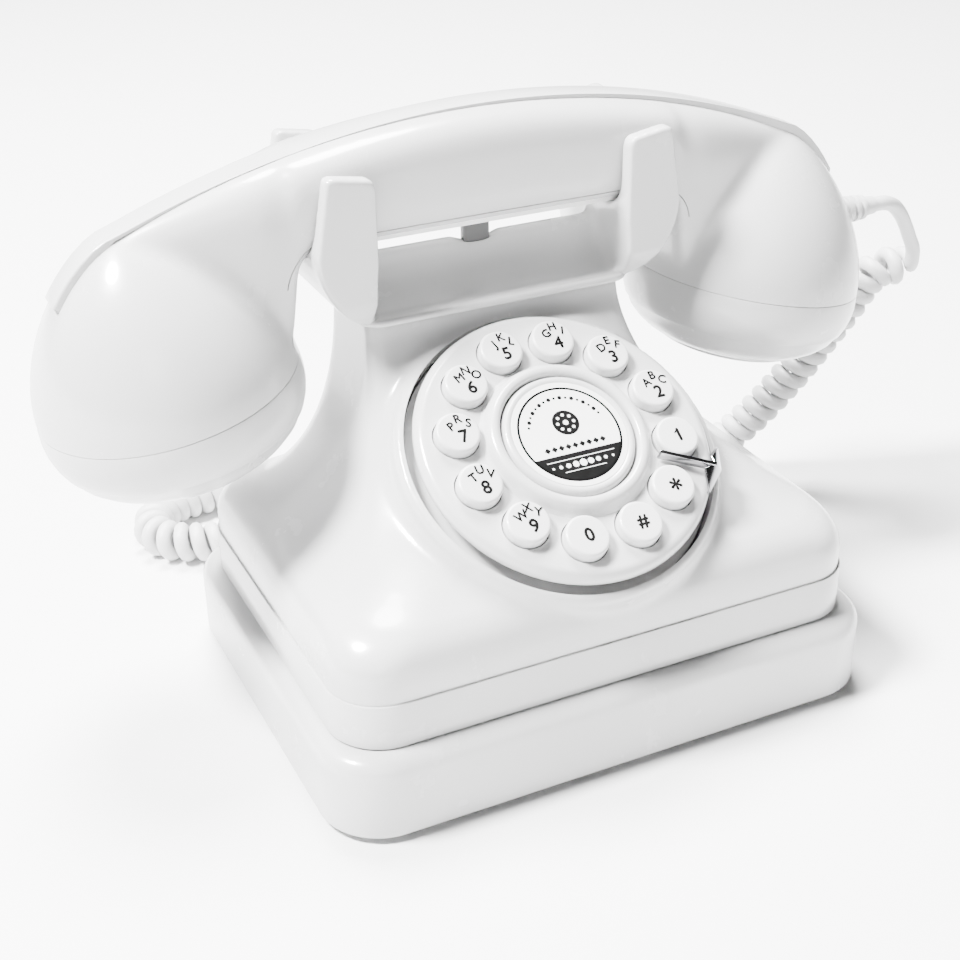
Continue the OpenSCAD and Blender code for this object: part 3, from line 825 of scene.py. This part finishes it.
keyShape = {
    "radius": 5.6, "proud": 3.0, "edge": 0.8, "lift": 0.05, "bold": 0.12,
    "digit": 3.4, "digitAt": (0.8, -1.65), "aloneAt": (0.35, -0.1), "starAt": (0.4, -1.6),
    "letters": 2.3, "arcAt": (0.95, 0.95), "arcRadius": 2.35, "arcStart": 164, "arcStep": 74,
    "lean": 0.25, "flag": [(-0.75, 0.85), (-0.6, 0.55), (0.4, 1.15), (0.4, 1.6), (0.2, 1.6)],
    "signs": [("1", "", "key_1"), ("2", "ABC", "key_2"), ("3", "DEF", "key_3"),
              ("4", "GHI", "key_4"), ("5", "JKL", "key_5"), ("6", "MNO", "key_6"),
              ("7", "PRS", "key_7"), ("8", "TUV", "key_8"), ("9", "WXY", "key_9"),
              ("0", "", "key_0"), ("#", "", "key_hash"), ("*", "", "key_star")],
}


def keyPrint(shape, digit, letters, lift):
    size, bold = shape["digit"], shape["bold"]
    if digit == "*":
        return [word(digit, size * 1.5, shape["starAt"], 0, bold * 1.3, lift)]
    if not letters:
        prints = [word(digit, size, shape["aloneAt"], 0, bold * 1.2, lift)]
        if digit == "1":
            prints.append(bar("flag", shape["flag"], 0.1, shifted(0, 0, lift - 0.04)))
        return prints
    prints = [word(digit, size, shape["digitAt"], 0, bold, lift)]
    for i, letter in enumerate(letters):
        degrees = shape["arcStart"] - shape["arcStep"] * i
        at = onCircle(*shape["arcAt"], shape["arcRadius"], degrees)
        lean = (degrees - 90) * shape["lean"]
        prints.append(word(letter, shape["letters"], at, lean, bold * 0.7, lift))
    return prints


def addKeys(shape):
    r, e, top = shape["radius"], shape["edge"], shape["proud"]
    side = [(0, -6.4), (2.2, -6.4), (2.2, -4.6), (6.4, -4.6), (6.4, -3.3), (r, -3.2)]
    crown = arc(r - e, top - e, e, 0, 84, 8) + [(r - e - 0.4, top), (0, top)]
    blank = turned("keyBlank", side + crown, 64)
    for k, (digit, letters, node) in enumerate(shape["signs"]):
        key = dress(copied(blank, node + "Cap"), keyWhite, ink)
        signs = joined("signs", *keyPrint(shape, digit, letters, top + shape["lift"]))
        dress(signs, ink)
        key = joined(node + "Cap", key, signs)
        settle(key, dialPlace @ shifted(*keySpot(k), 0))
        addPiece(key, node, "keys", node, angle=50)
    bpy.data.objects.remove(blank, do_unlink=True)


addKeys(keyShape)
print("keys made")

labelShape = {
    "radius": 14.8, "foot": 2.65, "top": 2.82, "ringOut": 13.4, "ringIn": 12.8, "chord": -5.25,
    "emblemAt": (0.2, 3.2), "emblem": 3.5, "eye": 0.7, "seed": 0.42, "seedRing": 2.2,
    "rowY": -3.35, "rowStep": 1.9, "lozenge": 0.85, "dotArc": 10.4,
    "beadY": -8.35, "beadStep": 2.05, "rules": [(-6.7, 9.2), (-10.0, 5.6)],
}


def addLabel(shape):
    r, foot, top = shape["radius"], shape["foot"], shape["top"]
    outline = [(0, foot), (r, foot), (r, top - 0.03), (r - 0.05, top), (0, top)]
    disc = dress(turned("hubLabel", outline, 128), paleInk)
    # black print: ring, foot of the disc, emblem, lozenges and an arc of dots
    low, high = top - 0.02, top + 0.03
    r, inner = shape["ringOut"], shape["ringIn"]
    across = math.degrees(math.asin(shape["chord"] / r))
    black = [turned("ring", [(inner, low), (r, low), (r, high), (inner, high), (inner, low)], 128),
             bar("foot", arc(0, 0, r, 180 - across, 360 + across, 60), high - low,
                 shifted(0, 0, low)),
             rod("emblem", shape["emblem"], low, high, shape["emblemAt"], 64)]
    for i in range(-4, 5):
        at = (shape["rowStep"] * i, shape["rowY"])
        black.append(rod("lozenge", shape["lozenge"], low, high, at, 4))
    for i in range(17):
        at = onCircle(0, 0, shape["dotArc"], 158 - 8.5 * i)
        black.append(rod("dot", 0.55 if i % 2 else 0.34, low, high, at, 20))
    black = dress(joined("labelBlack", *black), ink)
    # pale marks on top of the black
    low, high = high - 0.02, high + 0.02
    pale = [rod("eye", shape["eye"], low, high, shape["emblemAt"], 32)]
    for i in range(8):
        at = onCircle(*shape["emblemAt"], shape["seedRing"], 45 * i)
        pale.append(rod("seed", shape["seed"], low, high, at, 20))
    for i in range(-4, 5):
        at = (shape["beadStep"] * i, shape["beadY"])
        pale.append(rod("bead", 0.95 - 0.16 * abs(i), low, high, at, 24))
    for y, long in shape["rules"]:
        pale.append(block("stem", (-long, y - 0.09, low), (long, y + 0.09, high)))
    pale = dress(joined("labelPale", *pale), paleInk)
    label = joined("hubLabel", disc, black, pale)
    settle(label, dialPlace)
    addPiece(label, "base", "print", "hub_label", angle=30)


addLabel(labelShape)
print("label made")

stopShape = {
    "turn": -28.5, "arm": (22.8, 37.5), "low": 1.0, "high": 3.9, "thick": 1.0, "sheet": 0.7,
    "clip": [(38.5, 7.2, 0.4), (39.6, 0.6, 0.4), (36.9, -6.2, 0.4)],
}


def addStop(shape):
    half = shape["thick"] / 2
    inner, outer = shape["arm"]
    outline = [(outer, -half), (outer, half)] + arc(inner + half, 0, half, 90, 270, 6)
    arm = bar("arm", outline, shape["high"] - shape["low"], shifted(0, 0, shape["low"]))
    drawLine("clip", [Vector(p) for p in shape["clip"]])
    bpy.ops.mesh.select_all(action="SELECT")
    bpy.ops.mesh.extrude_region_move(TRANSFORM_OT_translate={"value": place(-0.2, 0, -4.2)})
    pickVerts(lambda p: p.z > 0)
    bpy.ops.mesh.extrude_region_move(TRANSFORM_OT_translate={"value": place(-2.6, 0, 3.0)})
    bpy.ops.transform.resize(value=(0.96, 0.28, 1), center_override=place(37.0, 0, 3.4))
    bpy.ops.mesh.select_all(action="SELECT")
    bpy.ops.mesh.normals_make_consistent(inside=False)
    clip = endEdit()
    finishWith(clip, "SOLIDIFY", thickness=shape["sheet"] * mm, offset=0)
    stop = joined("fingerStop", arm, clip)
    finishWith(stop, "BEVEL", width=0.12 * mm, segments=2, limit_method="ANGLE")
    settle(stop, dialPlace @ spun(shape["turn"], "Z"))
    addPiece(dress(stop, chrome), "base", "chrome", "finger_stop", angle=40)


addStop(stopShape)
print("finger stop made")


# Cradle: bead, cove with a notched ridge, and four prongs.

cradleShape = {
    "neckZ": 99.5, "neckY": 26.5, "ridge": 113.5, "ridgeHalf": 1.7, "cove": 12, "bridge": 36.5,
    "channel": 14.9, "prong": 4.5, "channelZ": 119.0, "channelRound": 8, "frontTop": 140.2,
    "backTop": 142.7, "voxel": 0.55, "fill": 1.7, "rounds": 5, "beadWide": 37.4, "beadDeep": 15.9,
    "outer": [(35.4, 1.2), (37, 0.8), (40, 2.4), (42.8, 4.6), (45.3, 7.4), (47.4, 10.6),
              (49.0, 14), (50.0, 17.6), (50.3, 21), (49.3, 27)],
    "tip": [(47.0, -0.4), (45.6, 0.1), (36.2, -1.5), (34.9, -2.3), (34.5, -4)],
    "inner": [(34.5, 18), (35.0, 10)],
    "chin": [(-1, -2), (-1, 9.5), (0, 8), (1.4, 4.6), (3.4, 2), (5.2, 0.4), (5.2, -2)],
}


def addCradle(shape):
    z0, ridge, half, cove = shape["neckZ"], shape["ridge"], shape["ridgeHalf"], shape["cove"]
    y0, wide = shape["neckY"], shape["bridge"]
    middle = shifted(0, y0, 0)
    across = spun(90, "Z") @ upright
    curve = [(half + cove * (1 - math.sin(math.radians(a))),
              ridge - cove * math.cos(math.radians(a))) for a in range(0, 91, 9)]
    section = [(14.8, z0 + 0.2), (14.8, z0 + 2.2)] + curve[1:]
    section = section + [(-x, z) for x, z in section[::-1]]
    bridge = bar("bridge", section, 2 * wide, middle @ shifted(-wide, 0, 0) @ across)
    scallop = rod("tool", 14, -9, 9, (0, 0), 64)
    cut(bridge, settle(scallop, middle @ shifted(0, 0, ridge + 12.4) @ upright))
    parts = [bridge]
    c, r, level = shape["channel"], shape["channelRound"], shape["channelZ"]
    outer = c + shape["prong"]
    gap = ([(-c, 160)] + arc(r - c, level + r, r, 180, 270, 8)
           + arc(c - r, level + r, r, 270, 360, 8) + [(c, 160)])
    chins = [[(face * (outer - x), z0 + z) for x, z in shape["chin"]] for face in (-1, 1)]
    for side in (-1, 1):
        for top, low, high in ((shape["frontTop"], -outer, 0), (shape["backTop"], -0.02, outer)):
            outline = ([(x, z0 + z) for x, z in shape["outer"]]
                       + [(x, top + z) for x, z in shape["tip"]]
                       + [(x, z0 + z) for x, z in shape["inner"]])
            fork = bar("fork", [(side * x, z) for x, z in outline], high - low)
            settle(fork, middle @ shifted(0, high, 0) @ upright)
            for tool in [gap] + chins:
                cut(fork, bar("tool", tool, 60, middle @ shifted(-30 + side * 40, 0, 0) @ across))
            parts.append(fork)
    cradle = moulded(joined("forkCradle", *parts), shape["voxel"], shape["fill"], shape["rounds"])
    bead = growRings("bead", [
        (z0 + 1.05 + z, shape["beadWide"] + r, y0 - shape["beadDeep"] - r,
         y0 + shape["beadDeep"] + r, 5.2 + r) for r, z in arc(0, 0, 1.0, -80, 80, 8)], 8)
    startEdit(bead)
    pickVerts(lambda p: p.z < z0 + 0.1)
    bpy.ops.mesh.edge_face_add()
    closeUp()
    endEdit()
    cut(cradle, bead, "UNION")
    cut(cradle, rod("tool", 2.6, 92, ridge - 4.4, (0, y0), 32))
    cut(cradle, rod("tool", 4.6, 96, 101.5, (0, y0), 32))
    cut(cradle, block("tool", (-3.9, y0 - 1.4, ridge - 9.4), (3.9, y0 + 1.4, ridge + 5)))
    addPiece(dress(cradle, white), "base", "shell", "cradle", angle=45)


addCradle(cradleShape)

plungerShape = {
    "at": (0, 26.5), "wide": 3.65, "thick": 1.15, "low": 104.9, "top": 119.15, "round": 1.2,
    "stem": 2.4, "collar": 4, "pin": 1.4,
}


def addPlunger(shape):
    w, low, top, r = shape["wide"], shape["low"], shape["top"], shape["round"]
    outline = ([(-w, low), (w, low), (w, top - r)] + arc(w - r, top - r, r, 0, 90, 4)
               + arc(r - w, top - r, r, 90, 180, 4))
    tongue = bar("tongue", outline, 2 * shape["thick"])
    settle(tongue, shifted(0, shape["at"][1] + shape["thick"], 0) @ upright)
    stem = rod("stem", shape["stem"], 92, low + 0.1, shape["at"], 32)
    collar = rod("collar", shape["collar"], 92, 93.5, shape["at"], 32)
    pin = rod("pin", shape["pin"], 88, 92.1, shape["at"], 24)
    plunger = joined("hookPlunger", tongue, stem, collar, pin)
    finishWith(plunger, "BEVEL", width=0.25 * mm, segments=2, limit_method="ANGLE")
    # the plunger is near-black as painted shade for the shaded notch under the handset
    addPiece(dress(plunger, notchShadePlastic), "plunger", "grey", "hook_plunger")


addPlunger(plungerShape)
print("cradle made")


# Handset: handle and two bulbs, an inner cover, a spine strip and two caps.

handsetShape = {
    "neckY": 26.5, "arc": 242, "top": 148.1, "low": 119.4, "deep": 28.6, "corner": (45, 8),
    "foot": 94, "power": 0.62, "taperFrom": 62, "taper": 0.2,
    "stations": [0, 10, 20, 30, 38, 45, 47, 49, 50.5, 51.6, 52.4, 53, 53.8, 54.8, 57, 61, 66,
                 72, 78, 84, 89, 93, 96],
    "rim": 33.3, "rimX": 84.6, "rimZ": 88.7, "lean": 11.3, "bulb": 42,
    "voxel": 0.78, "fill": 2.4, "rounds": 12, "seam": 3.7, "gap": 0.28,
}


def bulbPlace(shape, side):
    return (shifted(side * shape["rimX"], shape["neckY"], shape["rimZ"])
            @ spun(side * shape["lean"], "Y"))


def handleSection(shape, x):
    a = abs(x)
    start, r = shape["corner"]
    low = shape["low"]
    if a > start + r:
        low = max(shape["foot"], low - r - (a - start - r) * 9)
    elif a > start:
        low = low - r + math.sqrt(max(0, r * r - (a - start) ** 2))
    top = shape["top"] - shape["arc"] + math.sqrt(shape["arc"] ** 2 - x * x)
    half = shape["deep"] / 2 - max(0, a - shape["taperFrom"]) * shape["taper"]
    return low, top, half


def addHandle(shape):
    # one ring of the handle is pulled along from station to station
    stations = [-x for x in shape["stations"][:0:-1]] + shape["stations"]
    rings = []
    for x in stations:
        low, top, half = handleSection(shape, x)
        rings.append((x, (low + top) / 2, (top - low) / 2, half))
    x, centre, tall, half = rings[0]
    power, count = shape["power"], 40
    outline = []
    for i in range(count):
        t = 2 * math.pi * i / count
        c, s = math.cos(t), math.sin(t)
        outline.append(Vector((x, shape["neckY"] + half * math.copysign(abs(c) ** power, c),
                               centre + tall * math.copysign(abs(s) ** power, s))))
    drawLine("handle", outline)
    bpy.ops.mesh.select_all(action="SELECT")
    bpy.ops.mesh.edge_face_add()
    for after in rings[1:]:
        newX, newCentre, newTall, newHalf = after
        pickVerts(lambda p: abs(p.x - x) < 0.01)
        bpy.ops.mesh.extrude_region_move(
            TRANSFORM_OT_translate={"value": place(newX - x, 0, newCentre - centre)})
        bpy.ops.transform.resize(value=(1, newHalf / half, newTall / tall),
                                 center_override=place(newX, shape["neckY"], newCentre))
        x, centre, tall, half = after
    pickVerts(lambda p: abs(p.x - rings[0][0]) < 0.01)
    bpy.ops.mesh.edge_face_add()
    closeUp()
    return endEdit()


def bulbPoint(shape, t):
    # radius and height of the bulb's side, t from 0 at the rim to 1 at the crown
    return shape["rim"] * (1 - t ** 1.7) ** 0.68, shape["bulb"] * t


def seamLine(shape, offset):
    # side view of the joint between the shell and the inner cover
    start, r = shape["corner"]
    right = arc(start, shape["low"] - r, r + offset, 90, 8, 12)
    return [(-x, z) for x, z in right[::-1]] + right


def addHandset(shape):
    parts = [addHandle(shape)]
    bulbSide = [bulbPoint(shape, (i / 16) ** 0.8) for i in range(17)]
    for side in (-1, 1):
        bulb = turned("bulb", [(0, -5), (shape["rim"], -5)] + bulbSide, 96)
        parts.append(settle(bulb, bulbPlace(shape, side)))
    shell = moulded(joined("handsetShell", *parts), shape["voxel"], shape["fill"], shape["rounds"])
    for side in (-1, 1):
        knife = block("tool", (-60, -60, -30), (60, 60, 0))
        cut(shell, settle(knife, bulbPlace(shape, side)), solver="FAST")
    # the inner cover is cut free along its seam, and both stay as real pieces
    line = seamLine(shape, shape["seam"])
    inner = seamLine(shape, shape["seam"] - shape["gap"])
    outline = line + inner[::-1]
    cut(shell, bar("tool", outline, 80, shifted(0, shape["neckY"] + 40, 0) @ upright))
    chooseOnly(shell)
    bpy.ops.mesh.separate(type="LOOSE")
    loose = sorted(bpy.context.selected_objects, key=lambda o: -len(o.data.vertices))
    shell = loose[0]
    shell.name = "handsetShell"
    print("handset parts", [len(o.data.vertices) for o in loose])
    covers = [o for o in loose[1:] if len(o.data.vertices) > 500]
    for scrap in loose[1:]:
        if scrap not in covers:
            bpy.data.objects.remove(scrap, do_unlink=True)
    hole = rod("tool", 3.0, -15, 15, sides=32)
    cut(shell, settle(hole, shifted(*reliefShape["exit"]) @ spun(90, "Y")))
    addPiece(dress(shell, white), "handset", "shell", "handset_shell", angle=45)
    if covers:
        cover = joined("innerCover", *covers)
        addPiece(dress(cover, white), "handset", "shell", "handset_inner_cover", angle=45)


addHandset(handsetShape)
print("handset made")

capShape = {
    "profile": [(0, 0), (31.0, 0), (33.0, 0), (33.22, -0.12), (33.3, -0.4), (33.45, -2),
                (33.6, -4), (33.4, -6.6), (32.7, -9.4), (31.75, -11.6), (31.45, -11.9),
                (31.1, -12.1), (29.8, -14.5), (27.6, -16.7), (25.0, -18.5), (22.6, -19.7),
                (20.8, -20.3), (20.3, -20.6), (20.0, -21.1), (19.2, -21.4), (12, -21.6),
                (0, -21.7)],
    "inside": [(0, -17.6), (21.5, -17.6), (30.6, 0.5), (0, 0.5)],
    "soundHole": 1.1, "soundRing": 7, "gap": 0.12,
}


def addCap(name, side, node):
    cap = turned(name, capShape["profile"], 128)
    cut(cap, turned("tool", capShape["inside"], 64))
    for spot in [(0, 0)] + [onCircle(0, 0, capShape["soundRing"], 60 * k) for k in range(6)]:
        cut(cap, rod("tool", capShape["soundHole"], -25, -12, spot, 24))
    settle(cap, bulbPlace(handsetShape, side) @ shifted(0, 0, -capShape["gap"]))
    addPiece(dress(cap, white), "handset", "shell", node, angle=40)


addCap("mouthpieceCap", -1, "mouthpiece_cap")
addCap("earpieceCap", 1, "earpiece_cap")
print("caps made")

spineShape = {
    "half": 4.4, "rise": 1.35, "sunk": 1.4, "edge": 0.7, "arcEnd": 90,
    "shares": (0.985, 0.95, 0.9, 0.85, 0.8, 0.75, 0.71),
}


def spinePath(shape):
    # side view of the strip's foot: the handle's arc, then the outer shoulder of the bulb
    body = handsetShape
    right = []
    for i in range(31):
        x = shape["arcEnd"] * i / 30
        right.append((x, body["top"] - body["arc"] + math.sqrt(body["arc"] ** 2 - x * x)))
    lean = math.radians(body["lean"])
    for t in shape["shares"]:
        out, up = bulbPoint(body, t)
        right.append((body["rimX"] + out * math.cos(lean) + up * math.sin(lean),
                      body["rimZ"] - out * math.sin(lean) + up * math.cos(lean)))
    return [(-x, z) for x, z in right[:0:-1]] + right


def addSpine(shape):
    h, top, e = shape["half"], shape["rise"], shape["edge"]
    outline = ([(-h, -shape["sunk"]), (h, -shape["sunk"])] + arc(h - e, top - e, e, 0, 90, 4)
               + arc(e - h, top - e, e, 90, 180, 4))
    path = spinePath(shape)
    y0 = handsetShape["neckY"]
    leans = []
    for before, after in zip(path[:1] + path[:-1], path[1:] + path[-1:]):
        leans.append(math.atan2(before[1] - after[1], after[0] - before[0]))
    (x, z), lean = path[0], leans[0]
    drawLine("spine", [Vector((x + b * math.sin(lean), y0 + a, z + b * math.cos(lean)))
                       for a, b in outline])
    bpy.ops.mesh.select_all(action="SELECT")
    bpy.ops.mesh.edge_face_add()
    for (newX, newZ), newLean in zip(path[1:], leans[1:]):
        bpy.ops.mesh.extrude_region_move(
            TRANSFORM_OT_translate={"value": place(newX - x, 0, newZ - z)})
        bpy.ops.transform.rotate(value=newLean - lean, orient_axis="Y",
                                 center_override=place(newX, y0, newZ))
        x, z, lean = newX, newZ, newLean
    closeUp()
    spine = endEdit()
    finishWith(spine, "BEVEL", width=0.5 * mm, segments=3, limit_method="ANGLE",
               angle_limit=math.radians(50))
    addPiece(dress(spine, white), "handset", "shell", "handset_spine", angle=35)


addSpine(spineShape)
print("spine made")


# The CAD nodes that stay get their finishes.

finishes = {
    "rubber_feet": blackRubber, "base_screws": steel, "ballast_plate": castIron,
    "main_board": boardGreen, "board_screws": steel, "ringer_speaker": darkPlastic,
    "line_jack": greyPlastic, "keypad_board": boardGreen, "key_mat": greyRubber,
    "dial_screws": steel, "hook_switch": darkPlastic, "hook_spring": steel,
    "microphone": darkPlastic, "receiver": darkPlastic, "handset_weight": castIron,
    "handset_screws": steel,
}
for node, finish in finishes.items():
    dress(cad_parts[node], finish)


# Floor, world and lights.

studio = {
    "world": 0.045, "floor": (0.78, 0.78, 0.78), "floorLight": (0.84, 0.84, 0.84), "floorSize": 24,
    "lamps": [
        {"name": "key", "at": (-0.70, 0.10, 1.2), "aim": (0, 0, 0.08), "size": 0.35, "power": 148},
        {"name": "top", "at": (0.10, 0.55, 1.4), "aim": (0, 0, 0.1), "size": 0.6, "power": 118},
        {"name": "front", "at": (-0.6, -1.3, 0.9), "aim": (0, 0, 0.08), "size": 0.5, "power": 3},
    ],
}


def addStudio(look):
    chooseOnly()
    bpy.ops.mesh.primitive_plane_add(size=look["floorSize"], location=(0, 0, 0))
    floor = bpy.context.object
    floor.name = "floor"
    material, graph = newGraph("paleFloor")
    tone = graph.blend(patches(graph, 3), (*look["floor"], 1), (*look["floorLight"], 1))
    finishGraph(graph, tone, 0.7)
    dress(floor, material)
    world = bpy.data.worlds.new("studio")
    bpy.context.scene.world = world
    world.use_nodes = True
    sky = world.node_tree.nodes["Background"]
    sky.inputs["Color"].default_value = (1, 1, 1, 1)
    sky.inputs["Strength"].default_value = look["world"]
    for lamp in look["lamps"]:
        light = bpy.data.lights.new(lamp["name"], "AREA")
        light.shape = "DISK"
        light.size = lamp["size"]
        light.energy = lamp["power"]
        stand = bpy.data.objects.new(lamp["name"], light)
        bpy.context.scene.collection.objects.link(stand)
        stand.location = lamp["at"]
        aim = Vector(lamp["aim"]) - Vector(lamp["at"])
        stand.rotation_euler = aim.to_track_quat("-Z", "Y").to_euler()


addStudio(studio)
print("studio lit")
